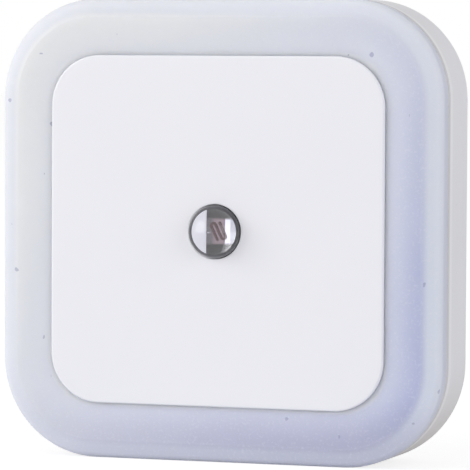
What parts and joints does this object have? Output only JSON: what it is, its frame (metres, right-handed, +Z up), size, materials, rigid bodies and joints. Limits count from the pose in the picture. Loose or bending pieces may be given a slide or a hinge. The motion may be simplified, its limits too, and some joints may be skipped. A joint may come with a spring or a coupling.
{
  "type": "plug-in night light",
  "caption": "Square plug-in night light with a frosted ring round a white panel, a clear light sensor dome in the middle and two flat plug blades behind.",
  "frame": {"origin": "middle of the flat rear face that meets the wall outlet's plate, midway between the two blades", "axes": "+X to the user's right, +Z up, +Y into the wall, so the lamp stands out along -Y"},
  "size_m": [0.065, 0.0373, 0.065],
  "materials": {
    "housing": "off-white moulded, fine satin",
    "diffuser": "frosted translucent",
    "panel": "white, satin gloss",
    "lens": "clear polished plastic",
    "sleeve": "white",
    "photocell": "fired ceramic under clear resin",
    "track": "sensing film",
    "lead": "tinned",
    "board": "laminate with solder mask",
    "led": "white package",
    "phosphor": "yellow silicone",
    "blade": "rolled strip",
    "clamp": "moulded",
    "screw": "zinc plated",
    "film_box": "moulded box",
    "can": "drawn can",
    "bung": "moulded",
    "resistor": "lacquer",
    "chip": "moulded",
    "wire": "insulation",
    "solder": "bright"
  },
  "bodies": {
    "root": {"base_resistor": "chip", "blade_clamp": "clamp", "bleeder_leads": "lead", "bleeder_resistor": "resistor", "board_screws": "screw", "bridge_rectifier": "chip", "circuit_board": "board", "clamp_screws": "screw", "diffuser": "diffuser", "divider_resistor": "chip", "dropper_capacitor": "film_box", "dropper_leads": "lead", "front_panel": "panel", "fusible_leads": "lead", "fusible_resistor": "resistor", "led_bottom": "led", "led_left": "led", "led_right": "led", "led_top": "led", "light_sleeve": "sleeve", "phosphor_bottom": "phosphor", "phosphor_left": "phosphor", "phosphor_right": "phosphor", "phosphor_top": "phosphor", "photocell_body": "photocell", "photocell_leads": "lead", "photocell_track": "track", "plug_blade_left": "blade", "plug_blade_right": "blade", "rear_housing": "housing", "rectifier_legs": "lead", "sensor_lens": "lens", "smoothing_bung": "bung", "smoothing_capacitor": "can", "smoothing_leads": "lead", "solder_joints": "solder", "supply_wire_left": "wire", "supply_wire_right": "wire", "transistor": "chip", "transistor_legs": "lead"}
  },
  "joints": []
}
